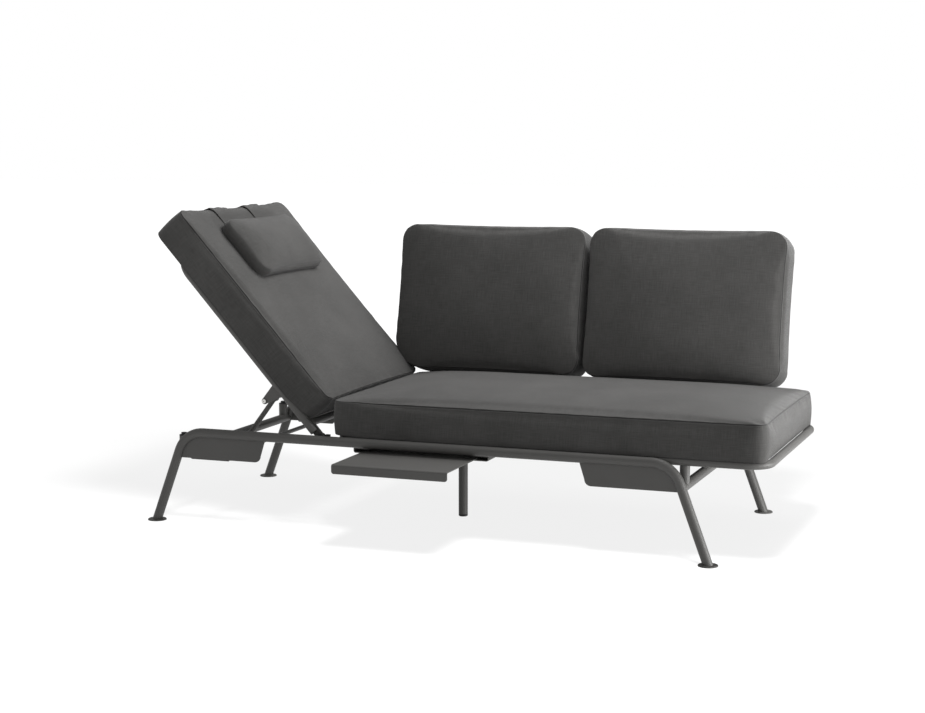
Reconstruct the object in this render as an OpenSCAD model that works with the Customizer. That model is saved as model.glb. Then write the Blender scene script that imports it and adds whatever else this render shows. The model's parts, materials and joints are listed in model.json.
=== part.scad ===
// Garden sofa that opens into a daybed: steel tube frame, reclining end, pull-out tray and loose cushions.
// The origin is on the floor under the centre leg. X runs along the sofa, Y to its back, Z up.

/* [Leg frames] */
// Outside diameter of the leg and rail tube
tube_d = 30; // [26:1:34]
// Wall of every steel tube
tube_wall = 2; // [1.5:0.5:3]
// Distance from the middle of the sofa to the axis of a side rail
rail_y = 400; // [390:5:430]
// Height of the rail axis
rail_z = 293; // [285:1:310]
// Distance from the middle to the point where rail and leg axes cross
rail_corner_x = 797; // [790:1:820]
// Distance from the middle to the centre of a foot
foot_x = 906; // [880:2:930]
// Bend radius of the leg tube, to its axis
leg_bend_r = 90; // [75:5:95]
// Diameter of a foot plate
foot_d = 60; // [50:2:70]
// Thickness of a foot plate
foot_t = 4; // [3:1:6]
// Height of the cross tubes that join the leg frames
cross_z = 222; // [212:1:226]
// Distance from the middle to the stubs on the cross tubes
stub_y = 361; // [350:1:364]
// Height of the rubber buttons on the left stubs
rest_pad_h = 7; // [4:1:10]
// Diameter of the rubber buttons
rest_pad_d = 18; // [12:1:24]

/* [Corner panels] */
// Thickness of the sheet panels in the bends
panel_t = 3; // [2:1:5]
// Height of the lower edge of a panel
panel_bottom_z = 210; // [205:1:216]
// Distance from the middle to the upper end of a panel
panel_in_x = 511; // [490:1:540]
// How far the inner edge of a panel leans outwards
panel_lean = 26; // [0:1:30]
// Radius of the free corner of a panel
panel_corner_r = 20; // [5:1:28]

/* [Seat platform] */
// Outside diameter of the platform and recliner tube
ring_d = 25; // [22:1:28]
// Height of the platform tube axis
ring_z = 297; // [294:0.5:302]
// Platform tube axis at the hinge end
ring_left_x = -280; // [-290:1:-265]
// Platform tube axis at the free end
ring_right_x = 1067; // [1040:1:1090]
// Place of the weld between the two bent halves of the platform tube
ring_seam_x = -40; // [-60:1:-20]
// Corner radius of the platform, to the tube axis
ring_corner_r = 65; // [50:1:90]
// Diameter of the tube across the middle of the platform
centre_bar_d = 20; // [16:1:22]
// Number of slats under the seat
slat_count = 7; // [5:1:7]
// Width of a slat
slat_w = 95; // [60:1:110]
// Thickness of a slat
slat_t = 3; // [2:0.5:5]
// Distance from one slat to the next
slat_pitch = 172; // [150:1:174]
// Middle of the first slat
slat_first_x = -125; // [-140:1:-110]

/* [Recliner] */
// Position of the hinge axis along the sofa
hinge_x = -343; // [-350:1:-336]
// Raised angle of the recliner above level
rest_angle = 48; // [46:1:48]
// Distance from the hinge axis to the axis of the upper end tube
recliner_l = 724; // [700:2:730]
// Clearance between a recliner side tube and the rail
recliner_side_gap = 2; // [1:0.5:4]
// Distance from the hinge axis to the lower cross bar
lower_bar_u = 57; // [52:1:70]
// Number of slats under the reclining cushion
recliner_slat_count = 4; // [3:1:4]
// Distance from the hinge axis to the first recliner slat
recliner_slat_u = 144; // [135:1:155]
// Width of a hinge lug
lug_w = 25; // [22:1:28]
// Thickness of a hinge lug
lug_t = 8; // [6:1:10]
// Diameter of the hinge pins
hinge_pin_d = 10; // [8:1:12]
// Radial clearance of every pin that turns
pin_gap = 0.05; // [0.02:0.01:0.1]
// Thickness of the ears that hold the hinge pins
ear_t = 6; // [4:1:8]
// Diameter of the plastic washers in the hinges
hinge_disc_d = 24; // [20:1:28]

/* [Prop] */
// Distance of the prop pivot from the hinge axis, along the recliner
pivot_u = 202; // [200:1:204]
// Depth of the prop pivot under the recliner tube axis
pivot_drop = 66.8; // [66:0.2:68]
// Length of a prop arm between its two axes
prop_l = 218.9; // [217:0.1:220]
// Angle of the prop under level when the recliner is raised
prop_angle = 53; // [52:1:54]
// Distance from the middle to a prop arm
prop_y = 300; // [290:1:305]
// Diameter of a prop arm
prop_d = 16; // [14:1:18]
// Diameter of the rod across the feet of the prop
foot_rod_d = 14; // [12:1:15]
// Diameter of the rod across the pivots of the prop
pivot_rod_d = 10; // [8:1:12]
// Thickness of a pivot bracket
bracket_t = 5; // [4:1:6]
// Width of a pivot bracket at the tube
bracket_root_w = 49; // [40:1:56]
// Radius of a pivot bracket round its bolt
bracket_tip_r = 10; // [9:0.5:12]
// Thickness of a notched guide plate
guide_t = 5; // [4:1:6]
// Play between the foot rod and its slot
slot_gap = 1; // [0.6:0.1:1.4]
// Number of notches below the slot
notch_count = 5; // [3:1:6]
// Depth of a notch below the slot
notch_depth = 3; // [1:0.5:4]

/* [Pull-out tray] */
// Width of the tray
tray_w = 368; // [340:2:380]
// Thickness of the tray sheet
tray_t = 3; // [2:0.5:3]
// Height of the top of the tray
tray_z = 266; // [264:0.5:267]
// Height of the folded front edge
tray_lip_h = 28; // [20:1:36]
// Outer radius of the fold
tray_fold_r = 6; // [4:1:9]
// Front of the tray when pulled out
tray_front_y = 626; // [600:2:640]
// How far the tray slides
tray_travel = 210; // [150:5:210]
// Radius of the corners of the front edge
tray_corner_r = 8; // [3:1:12]

/* [Backrest] */
// Angle of the back cushions from upright
back_lean = 12; // [10:1:14]
// Height of a backrest frame along its lean, above the cushion's lower edge
back_frame_h = 400; // [340:5:420]
// Distance between the two uprights of a backrest frame
back_frame_w = 440; // [380:5:500]
// Diameter of the stubs between a backrest frame and the rear rail
back_stub_d = 20; // [16:1:22]
// Number of bars across a backrest frame
back_bar_count = 3; // [2:1:3]
// Width of a backrest bar
back_bar_w = 60; // [40:1:80]

/* [Cushions] */
// Length of the seat cushion
seat_l = 1362; // [1340:1:1366]
// Depth of the seat and recliner cushions
seat_w = 748; // [730:1:760]
// Left end of the seat cushion
seat_left_x = -298; // [-300:1:-290]
// Height of the side band of the seat and recliner cushions
band_h = 105; // [90:1:106]
// Rise of a seat cushion's crown above its seam
seat_crown = 24; // [8:1:26]
// Height of the side band of the reclining cushion
recliner_band_h = 96; // [90:1:98]
// Rise of the reclining cushion's face above its seam
recliner_crown = 10; // [6:1:12]
// Corner radius of the seat and recliner cushions
seat_corner_r = 38; // [25:1:60]
// Length of the reclining cushion
recliner_cushion_l = 770; // [750:1:776]
// Distance from the hinge axis to the lower end of the reclining cushion
recliner_cushion_u = 62; // [60:1:66]
// How far the reclining cushion creeps towards the seat when it is laid flat
cushion_travel = 95; // [92:1:96]
// Width of a back cushion
back_w = 673; // [660:1:674]
// Height of a back cushion between its seams
back_h = 490; // [470:1:500]
// Depth of the side band of a back cushion
back_t = 138; // [120:1:140]
// Rise of a back cushion's front and rear above the seams
back_crown = 24; // [12:1:26]
// Corner radius of a back cushion
back_corner_r = 58; // [45:1:80]
// Radius of the left back cushion's lower corner, where the reclining cushion presses it in
pressed_corner_r = 117; // [116:1:150]
// Distance from one back cushion to the next, centre to centre
back_pitch = 679; // [679:1:690]
// Middle between the two back cushions
back_mid_x = 292; // [290:1:300]
// Lower front seam of the back cushions, from the middle of the sofa
back_front_y = 322; // [316:1:330]
// Height of the lower front seam of the back cushions
back_bottom_z = 447; // [445:1:455]
// How far the sides of a cushion are drawn in between its corners
side_pull = 6; // [2:1:8]
// How far a side band swells
band_swell = 4; // [2:1:5]

/* [Head pillow] */
// Length of the head pillow across the recliner
pillow_l = 476; // [440:1:560]
// Width of the head pillow
pillow_w = 224; // [200:1:250]
// Height of the pillow's side between its fuller faces
pillow_t = 34; // [24:1:40]
// Rise of the pillow's face above its side
pillow_crown = 30; // [16:1:32]
// Distance from the hinge axis to the middle of the pillow
pillow_u = 647; // [630:1:655]
// Thickness of the straps
strap_t = 2; // [1.5:0.5:3]
// Width of a strap
strap_w = 105; // [60:1:120]
// Distance from the middle to the middle of a strap
strap_y = 116; // [100:1:130]
// Distance from the hinge axis to the end of a strap under the pillow
strap_end_u = 560; // [550:1:590]

/* [Hidden] */
$fn = 48;

// Gap left between pieces that are welded or seated on each other
seat_gap = 0.3;
// Extra length of a cutting shape past the face that it cuts
overrun = 1;
anthracite = "#4b4a47";
black = "#1c1c1c";
steel = "#c8c8c8";
fabric = "#4e4c4c";

tube_r = tube_d / 2;
ring_r = ring_d / 2;

// Leg frame geometry
splay = atan((foot_x - rail_corner_x) / rail_z);
leg_turn = 90 - splay;
bend_reach = leg_bend_r * tan(leg_turn / 2);
bend_x = rail_corner_x - bend_reach;
bend_z = rail_z - leg_bend_r;
leg_top_x = bend_x + leg_bend_r * cos(splay);
leg_top_z = bend_z + leg_bend_r * sin(splay);
leg_l = leg_top_z / cos(splay) + tube_d;
function leg_axis_x(z) = foot_x - z * tan(splay);
cross_x = leg_axis_x(cross_z);

// Platform geometry
ring_top_z = ring_z + ring_r;
ring_bottom_z = ring_z - ring_r;
ring_reach = tube_r + ring_r + seat_gap;
ring_y = rail_y - sqrt(pow(ring_reach, 2) - pow(ring_z - rail_z, 2));
stub_cap_t = 2.5;
stub_plug_l = 12;
slat_drop = 2;
platform_top_z = ring_top_z;
centre_tube_z = ring_top_z - slat_drop - slat_t - seat_gap - centre_bar_d / 2;
foot_ease = 1.5;
glide_h = 8;
glide_plug_l = 12;

// Recliner geometry, measured along the recliner (u) and square to it
hinge_z = ring_z;
recliner_y = ring_y - recliner_side_gap;
recliner_tube_l = recliner_l - ring_corner_r;
tube_start_u = 22;
lug_end_u = 74;
lug_out_y = recliner_y - ring_r - seat_gap;
lug_in_y = lug_out_y - lug_t;
disc_t = 2;
disc_out_y = lug_in_y - seat_gap;
disc_in_y = disc_out_y - disc_t;
ear_out_y = disc_in_y;
ear_in_y = ear_out_y - ear_t;
ear_r = 11;
ear_depth = 20;
stop_l = 14;
stop_h = 7;
stop_x = hinge_x + stop_l;
pin_head_d = 18;
pin_head_h = 5;
pin_bite = 6;
pin_end_y = rail_y - tube_r + pin_bite;
spacer_d = 18;
spacer_in_y = lug_out_y + seat_gap;

// Prop geometry
slot_r = foot_rod_d / 2 + slot_gap;
locus_steps = 16;
tight_share = 0.25;
last_notch_share = 0.55;
guide_rim = 6;
guide_top_z = 271;
guide_top_w = 90;
guide_y = rail_y - panel_t / 2 - seat_gap - guide_t;
foot_rod_end_gap = 1;
prop_eye_d = 22;
prop_eye_w = 18;
rod_cap_d = 22;
rod_cap_w = 5;
bolt_head_d = 13;
bolt_head_h = 5;
bolt_socket_d = 6;
bracket_lean = 4;
function recliner_point(u, w, a) = [hinge_x - u * cos(a) + w * sin(a), hinge_z + u * sin(a) + w * cos(a)];
function pivot_point(a) = recliner_point(pivot_u, -pivot_drop, a);
function prop_fall(a) = prop_angle * a / rest_angle;
function foot_point(a) = pivot_point(a) - prop_l * [cos(prop_fall(a)), sin(prop_fall(a))];

// Tray geometry
leg_clear = 3;
tray_back_y = tray_travel + tube_r + leg_clear;
tray_edge_x = tray_w / 2;
tray_glide_t = 2;
guide_wall = 3;
guide_side_w = 38;
guide_outer_x = tray_edge_x + guide_side_w;
tray_bottom_z = tray_z - tray_t;
guide_lip_z = tray_bottom_z - seat_gap - tray_glide_t;
guide_bottom_z = guide_lip_z - guide_wall;
guide_head_gap = 7.5;
guide_head_z = tray_z + guide_head_gap;
guide_lap = 14;
guide_front_lap = 3;
guide_front_y = ring_y + guide_front_lap;
guide_back_y = 30;
guide_corner_r = 7;
hanger_w = 30;
tie_w = 30;
tie_front_y = guide_back_y + tie_w;

// Backrest geometry, in a frame that leans back with the cushion
back_frame_n = back_t + back_crown + seat_gap + slat_t + ring_r + seat_gap;
back_foot_drop = 16;
back_foot_z = back_bottom_z - back_frame_n * sin(back_lean);
back_leg_l = (back_foot_z - rail_z + back_foot_drop) / cos(back_lean);
back_foot_y = back_front_y + back_frame_n * cos(back_lean) - (back_foot_z - rail_z) * tan(back_lean);
back_pair_x = [back_mid_x - back_pitch / 2, back_mid_x + back_pitch / 2];
back_first_bar_share = 0.12;
back_last_bar_share = 0.8;

// Cushion geometry
seat_half_w = seat_w / 2;
cushion_bottom_w = ring_r + seat_gap;
pillow_lift = strap_t + seat_gap;
pillow_corner_r = 3 * pillow_t / 2;
crown_reach_share = 0.86;
crown_power = 0.62;
inset_power = 1.7;
arc_steps = 5;
edge_steps = 6;
crown_steps = 6;
band_steps = 4;

// Bent tubes

module rod_x(d, l) {
    rotate([0, 90, 0]) cylinder(d = d, h = l, center = true);
}

module rod_y(d, l) {
    rotate([90, 0, 0]) cylinder(d = d, h = l, center = true);
}

// A bend in the XZ plane, from the level of its start angle
module bend_xz(r, d, from, turn) {
    rotate([90, 0, 0]) rotate_extrude(angle = turn, start = from) translate([r, 0]) circle(d = d);
}

module half_leg_solid(d) {
    translate([bend_x, 0, bend_z]) bend_xz(leg_bend_r, d, splay, leg_turn);
    translate([leg_top_x, 0, leg_top_z]) rotate([0, 180 - splay, 0]) cylinder(d = d, h = leg_l);
}

// Rail, two bends and two legs as one solid bar at the front rail's place
module leg_frame_solid(d) {
    translate([0, -rail_y, 0]) {
        translate([0, 0, rail_z]) rod_x(d, 2 * bend_x);
        half_leg_solid(d);
        mirror([1, 0, 0]) half_leg_solid(d);
    }
}

module leg_frame() {
    floor_l = 2 * (foot_x + foot_d);
    difference() {
        leg_frame_solid(tube_d);
        leg_frame_solid(tube_d - 2 * tube_wall);
        translate([-floor_l / 2, -rail_y - tube_d, foot_t - floor_l]) cube([floor_l, 2 * tube_d, floor_l]);
        translate([hinge_x, -rail_y + tube_r - pin_bite / 2, hinge_z]) rod_y(hinge_pin_d, 2 * pin_bite);
    }
}

module front_leg_frame() {
    color(anthracite) leg_frame();
}

module rear_leg_frame() {
    color(anthracite) mirror([0, 1, 0]) leg_frame();
}

// Sheet panel in the right bend of the front leg frame, cut to the tube
module corner_panel() {
    in_bottom_x = panel_in_x + panel_lean;
    corner_x = in_bottom_x + panel_corner_r * (1 - panel_lean / (rail_z - panel_bottom_z));
    corner = [for (i = [0 : arc_steps]) let (a = 180 + 90 * i / arc_steps)
        [corner_x + panel_corner_r * cos(a), panel_bottom_z + panel_corner_r * (1 + sin(a))]];
    bend = [for (i = [0 : 2 * arc_steps]) let (a = splay + leg_turn * i / (2 * arc_steps))
        [bend_x + leg_bend_r * cos(a), bend_z + leg_bend_r * sin(a)]];
    outline = concat([[panel_in_x, rail_z]], corner,
        [[leg_axis_x(panel_bottom_z), panel_bottom_z]], bend);
    difference() {
        translate([0, -rail_y + panel_t / 2, 0]) rotate([90, 0, 0]) linear_extrude(panel_t) polygon(outline);
        leg_frame_solid(tube_d);
    }
}

module front_right_panel() {
    color(anthracite) corner_panel();
}

module front_left_panel() {
    color(anthracite) mirror([1, 0, 0]) corner_panel();
}

module rear_right_panel() {
    color(anthracite) mirror([0, 1, 0]) corner_panel();
}

module rear_left_panel() {
    color(anthracite) mirror([0, 1, 0]) mirror([1, 0, 0]) corner_panel();
}

// Tube from leg to leg, with its ends cut to fit the legs
module cross_tube() {
    difference() {
        translate([cross_x, 0, cross_z]) rod_y(tube_d, 2 * rail_y);
        translate([cross_x, 0, cross_z]) rod_y(tube_d - 2 * tube_wall, 2 * rail_y + overrun);
        leg_frame_solid(tube_d);
        mirror([0, 1, 0]) leg_frame_solid(tube_d);
    }
}

module right_cross_tube() {
    color(anthracite) cross_tube();
}

module left_cross_tube() {
    color(anthracite) mirror([1, 0, 0]) cross_tube();
}

// Two upright stubs on a cross tube, up to a given height
module stub_pair(top_z) {
    for (side = [-1, 1]) difference() {
        translate([cross_x, side * stub_y, cross_z]) cylinder(d = tube_d, h = top_z - cross_z);
        translate([cross_x, side * stub_y, cross_z])
            cylinder(d = tube_d - 2 * tube_wall, h = top_z - cross_z + overrun);
        translate([cross_x, 0, cross_z]) rod_y(tube_d, 2 * rail_y);
        platform_ring_solid(ring_d + 2 * seat_gap);
    }
}

module right_stubs() {
    color(anthracite) stub_pair(ring_z);
}

module left_stubs() {
    color(anthracite) mirror([1, 0, 0]) stub_pair(ring_bottom_z - seat_gap - rest_pad_h - stub_cap_t);
}

// Rubber caps with a button that the flat recliner comes down on
module rest_pads() {
    button_z = ring_bottom_z - seat_gap - rest_pad_h;
    color(black) for (side = [-1, 1]) translate([-cross_x, side * stub_y, button_z]) {
        cylinder(d = rest_pad_d, h = rest_pad_h);
        translate([0, 0, -stub_cap_t]) cylinder(d = tube_d, h = stub_cap_t);
        translate([0, 0, -stub_plug_l]) cylinder(d = tube_d - 2 * tube_wall, h = stub_plug_l);
    }
}

// Round steel plates under the four legs, with an eased upper edge
module foot_plates() {
    color(anthracite) for (x = [-1, 1], y = [-1, 1])
        translate([x * leg_axis_x(foot_t / 2), y * rail_y, 0]) rotate_extrude($fn = 64)
            polygon([[0, 0], [foot_d / 2, 0], [foot_d / 2, foot_t - foot_ease], [foot_d / 2 - foot_ease, foot_t],
                [0, foot_t]]);
}

module centre_leg() {
    color(anthracite) difference() {
        translate([0, 0, glide_h]) cylinder(d = tube_d, h = centre_tube_z - glide_h);
        translate([0, 0, 0]) cylinder(d = tube_d - 2 * tube_wall, h = centre_tube_z);
        translate([0, 0, centre_tube_z]) rod_y(centre_bar_d, 2 * tube_d);
    }
}

module centre_cross_tube() {
    l = 2 * (ring_y - ring_r - seat_gap);
    color(anthracite) translate([0, 0, centre_tube_z]) difference() {
        rod_y(centre_bar_d, l);
        rod_y(centre_bar_d - 2 * tube_wall, l + overrun);
    }
}

// Plastic glide plugged into the centre leg
module centre_glide() {
    ease = 2;
    bore_r = tube_r - tube_wall;
    color(black) rotate_extrude()
        polygon([[0, 0], [tube_r - ease, 0], [tube_r, ease], [tube_r, glide_h], [bore_r, glide_h],
            [bore_r, glide_h + glide_plug_l], [0, glide_h + glide_plug_l]]);
}

// Seat platform

module ring_corner(d, x, y, from) {
    translate([x, y, 0]) rotate_extrude(angle = 90, start = from) translate([ring_corner_r, 0]) circle(d = d);
}

// Solid bar bent round the right end of the platform, from the seam on
module platform_right_solid(d) {
    bend = ring_right_x - ring_corner_r;
    far = ring_y - ring_corner_r;
    translate([0, 0, ring_z]) {
        for (side = [-1, 1]) translate([(ring_seam_x + bend) / 2, side * ring_y, 0]) rod_x(d, bend - ring_seam_x);
        translate([ring_right_x, 0, 0]) rod_y(d, 2 * far);
        ring_corner(d, bend, far, 0);
        ring_corner(d, bend, -far, 270);
    }
}

// The same round the hinge end
module platform_left_solid(d) {
    bend = ring_left_x + ring_corner_r;
    far = ring_y - ring_corner_r;
    translate([0, 0, ring_z]) {
        for (side = [-1, 1]) translate([(ring_seam_x + bend) / 2, side * ring_y, 0]) rod_x(d, ring_seam_x - bend);
        translate([ring_left_x, 0, 0]) rod_y(d, 2 * far);
        ring_corner(d, bend, far, 90);
        ring_corner(d, bend, -far, 180);
    }
}

module platform_ring_solid(d) {
    platform_left_solid(d);
    platform_right_solid(d);
}

module seat_ring_right() {
    color(anthracite) difference() {
        platform_right_solid(ring_d);
        platform_right_solid(ring_d - 2 * tube_wall);
    }
}

module seat_ring_left() {
    color(anthracite) difference() {
        platform_left_solid(ring_d);
        platform_left_solid(ring_d - 2 * tube_wall);
    }
}

module slat(x, y, top_z) {
    translate([x - slat_w / 2, -y, top_z - slat_t]) cube([slat_w, 2 * y, slat_t]);
}

// Flat slats welded in between the side tubes
module seat_slats() {
    color(anthracite) difference() {
        for (i = [0 : slat_count - 1]) slat(slat_first_x + i * slat_pitch, ring_y, ring_top_z - slat_drop);
        for (side = [-1, 1]) translate([0, side * ring_y, ring_z]) rod_x(ring_d, 3 * ring_right_x);
    }
}

// Hinges between platform and recliner

// Plate on the inner side of the arm, from the pin back to the platform tube
module hinge_ear() {
    reach = ring_left_x + ring_corner_r - hinge_x;
    difference() {
        translate([hinge_x, -ear_in_y, hinge_z]) rotate([90, 0, 0]) linear_extrude(ear_t) {
            circle(r = ear_r);
            translate([0, -ear_depth]) square([reach, ear_depth]);
            translate([-ear_r, -ear_depth]) square([ear_r, ear_depth]);
        }
        translate([hinge_x, -ear_in_y, hinge_z]) rod_y(hinge_pin_d, 4 * ear_t);
        platform_ring_solid(ring_d);
    }
}

module hinge_ears() {
    color(anthracite) {
        hinge_ear();
        mirror([0, 1, 0]) hinge_ear();
    }
}

// Rubber blocks on the ears, where the raised recliner's lugs come to rest
module hinge_stops() {
    color(black) for (side = [0, 1]) mirror([0, side, 0])
        translate([stop_x, -lug_out_y, hinge_z + seat_gap]) cube([stop_l, lug_out_y - ear_in_y, stop_h]);
}

module washer_y(y_in, y_out, d, bore) {
    translate([hinge_x, -(y_in + y_out) / 2, hinge_z]) difference() {
        rod_y(d, y_out - y_in);
        rod_y(bore, y_out - y_in + overrun);
    }
}

module hinge_washers() {
    color(black) for (side = [0, 1]) mirror([0, side, 0])
        washer_y(disc_in_y, disc_out_y, hinge_disc_d, hinge_pin_d);
}

module hinge_spacers() {
    color(black) for (side = [0, 1]) mirror([0, side, 0])
        washer_y(spacer_in_y, rail_y - tube_r - seat_gap, spacer_d, hinge_pin_d);
}

module hinge_pins() {
    head_y = ear_in_y - pin_head_h;
    color(steel) for (side = [0, 1]) mirror([0, side, 0]) {
        translate([hinge_x, -(ear_in_y + pin_end_y) / 2, hinge_z]) rod_y(hinge_pin_d, pin_end_y - ear_in_y);
        translate([hinge_x, -(head_y + ear_in_y) / 2, hinge_z]) rod_y(pin_head_d, pin_head_h);
    }
}

// Recliner: pieces are drawn lying flat, with the hinge axis at the origin, then raised

module raised() {
    translate([hinge_x, 0, hinge_z]) rotate([0, rest_angle, 0]) children();
}

module recliner_tube_solid(d, from) {
    far = recliner_y - ring_corner_r;
    for (side = [-1, 1])
        translate([-(from + recliner_tube_l) / 2, side * recliner_y, 0]) rod_x(d, recliner_tube_l - from);
    translate([-recliner_l, 0, 0]) rod_y(d, 2 * far);
    ring_corner(d, -recliner_tube_l, far, 90);
    ring_corner(d, -recliner_tube_l, -far, 180);
}

module recliner_frame() {
    color(anthracite) raised() difference() {
        recliner_tube_solid(ring_d, tube_start_u);
        recliner_tube_solid(ring_d - 2 * tube_wall, 0);
    }
}

module recliner_slats() {
    color(anthracite) raised() difference() {
        for (i = [0 : recliner_slat_count - 1])
            slat(-recliner_slat_u - i * slat_pitch, recliner_y, ring_r - slat_drop);
        for (side = [-1, 1]) translate([0, side * recliner_y, 0]) rod_x(ring_d, 3 * recliner_l);
    }
}

module recliner_cross_bar() {
    color(anthracite) raised() translate([-lower_bar_u, 0, 0]) difference() {
        rod_y(ring_d, 2 * lug_in_y);
        rod_y(ring_d - 2 * tube_wall, 2 * lug_in_y + overrun);
    }
}

module hinge_lugs() {
    color(anthracite) raised() for (side = [0, 1]) mirror([0, side, 0]) difference() {
        translate([0, -lug_in_y, 0]) rotate([90, 0, 0]) linear_extrude(lug_t) {
            circle(d = lug_w);
            translate([-lug_end_u, -lug_w / 2]) square([lug_end_u, lug_w]);
        }
        translate([0, -lug_in_y, 0]) rod_y(hinge_pin_d + 2 * pin_gap, 4 * lug_t);
    }
}

// Tapered plate under each side tube, round at the bolt
module prop_bracket() {
    root_near = pivot_u - bracket_root_w / 2 - bracket_lean;
    root_far = root_near + bracket_root_w;
    tip = [for (i = [0 : 2 * arc_steps]) let (a = 180 + 180 * i / (2 * arc_steps))
        [-pivot_u + bracket_tip_r * cos(a), -pivot_drop + bracket_tip_r * sin(a)]];
    difference() {
        translate([0, -recliner_y + bracket_t / 2, 0]) rotate([90, 0, 0]) linear_extrude(bracket_t)
            polygon(concat([[-root_far, -ring_r / 2]], tip, [[-root_near, -ring_r / 2]]));
        recliner_tube_solid(ring_d, tube_start_u);
        translate([-pivot_u, 0, -pivot_drop]) rod_y(pivot_rod_d, 3 * rail_y);
    }
}

module prop_brackets() {
    color(anthracite) raised() for (side = [0, 1]) mirror([0, side, 0]) prop_bracket();
}

module pivot_rod() {
    color(anthracite) raised() translate([-pivot_u, 0, -pivot_drop])
        rod_y(pivot_rod_d, 2 * recliner_y + bracket_t);
}

// Bright socket screws that hold the pivot rod
module pivot_bolts() {
    bolt_y = recliner_y + bracket_t / 2 + bolt_head_h / 2;
    color(steel) raised() for (side = [-1, 1]) difference() {
        translate([-pivot_u, side * bolt_y, -pivot_drop]) rod_y(bolt_head_d, bolt_head_h);
        translate([-pivot_u, side * (bolt_y + bolt_head_h / 2), -pivot_drop])
            rod_y(bolt_socket_d, bolt_head_h, $fn = 6);
    }
}

// Prop: drawn level with its pivot at the origin, then swung down to its guide

module propped() {
    pivot = pivot_point(rest_angle);
    translate([pivot[0], 0, pivot[1]]) rotate([0, -prop_angle, 0]) children();
}

module prop_arms() {
    color(anthracite) propped() for (side = [-1, 1]) difference() {
        union() {
            translate([0, side * prop_y, 0]) rod_y(prop_eye_d, prop_eye_w);
            translate([-prop_l / 2, side * prop_y, 0]) rod_x(prop_d, prop_l);
        }
        rod_y(pivot_rod_d + 2 * pin_gap, 2 * rail_y);
        translate([-prop_l, 0, 0]) rod_y(foot_rod_d, 2 * rail_y);
    }
}

module foot_rod() {
    color(anthracite) propped() translate([-prop_l, 0, 0])
        rod_y(foot_rod_d, 2 * (rail_y - panel_t / 2 - foot_rod_end_gap));
}

// Collars that keep the foot rod centred between the guides
module foot_rod_collars() {
    cap_in_y = guide_y - slot_gap - rod_cap_w;
    color(black) propped() for (side = [0, 1]) mirror([0, side, 0])
        translate([-prop_l, -(cap_in_y + rod_cap_w / 2), 0]) difference() {
            rod_y(rod_cap_d, rod_cap_w);
            rod_y(foot_rod_d, rod_cap_w + overrun);
        }
}

// Points on the path of the foot rod, shifted square to the path
function path_side(shift) = [for (i = [0 : locus_steps]) let (
    a = rest_angle * i / locus_steps,
    here = foot_point(a),
    step = foot_point(a + rest_angle / locus_steps) - foot_point(a - rest_angle / locus_steps),
    along = step / norm(step))
    here + shift * [-along[1], along[0]]];

// The slot follows the rod's own path from the flat to the raised position, with a notch for each step
module guide_slot() {
    tight_a = rest_angle * tight_share;
    polygon(concat(path_side(slot_r), [for (i = [locus_steps : -1 : 0]) path_side(-slot_r)[i]]));
    for (i = [0 : 2 * locus_steps]) let (a = rest_angle * i / (2 * locus_steps))
        if (a <= tight_a || i == 2 * locus_steps) translate(foot_point(a)) circle(r = slot_r);
    for (i = [0 : notch_count - 1]) let (
        a = rest_angle * (1 - last_notch_share * i / (notch_count - 1)),
        drop = i == 0 ? 0 : notch_depth)
        translate(foot_point(a) - [0, drop]) circle(r = slot_r);
}

module prop_guide() {
    left = min([for (a = [0 : 2 : rest_angle]) foot_point(a)[0]]) - slot_r - guide_rim;
    low = min([for (a = [0 : 2 : rest_angle]) foot_point(a)[1]]) - slot_r - guide_rim;
    right = foot_point(rest_angle)[0] + slot_r + 2 * guide_rim;
    corner = guide_rim;
    translate([0, -guide_y, 0]) rotate([90, 0, 0]) linear_extrude(guide_t) difference() {
        polygon([[left, low + corner], [left + corner, low], [right - corner, low], [right, low + corner],
            [right, guide_top_z], [right - guide_top_w, guide_top_z],
            [left, foot_point(0)[1] + slot_r + guide_rim]]);
        guide_slot();
    }
}

module front_prop_guide() {
    color(anthracite) prop_guide();
}

module rear_prop_guide() {
    color(anthracite) mirror([0, 1, 0]) prop_guide();
}

// Pull-out tray and its guides

// Side view of the tray: level sheet with its front edge folded down
module tray_section() {
    fold = [for (i = [0 : arc_steps]) let (a = 90 + 90 * i / arc_steps)
        [-tray_front_y + tray_fold_r + tray_fold_r * cos(a), tray_z - tray_fold_r + tray_fold_r * sin(a)]];
    inner_r = tray_fold_r - tray_t;
    inner = [for (i = [arc_steps : -1 : 0]) let (a = 90 + 90 * i / arc_steps)
        [-tray_front_y + tray_fold_r + inner_r * cos(a), tray_z - tray_fold_r + inner_r * sin(a)]];
    polygon(concat([[-tray_back_y, tray_bottom_z], [-tray_back_y, tray_z]], fold,
        [[-tray_front_y, tray_z - tray_lip_h], [-tray_front_y + tray_t, tray_z - tray_lip_h]], inner));
}

module tray() {
    low_z = tray_z - tray_lip_h;
    color(anthracite) difference() {
        rotate([90, 0, 90]) linear_extrude(tray_w, center = true) tray_section();
        for (side = [-1, 1])
            translate([side * (tray_edge_x - tray_corner_r), -tray_front_y - overrun, low_z + tray_corner_r])
                rotate([-90, 0, 0]) difference() {
                    translate([side > 0 ? 0 : -2 * tray_corner_r, 0, 0])
                        cube([2 * tray_corner_r, 2 * tray_corner_r, tray_t + 2 * overrun]);
                    translate([0, 0, -overrun]) cylinder(r = tray_corner_r, h = tray_t + 4 * overrun);
                }
    }
}

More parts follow.
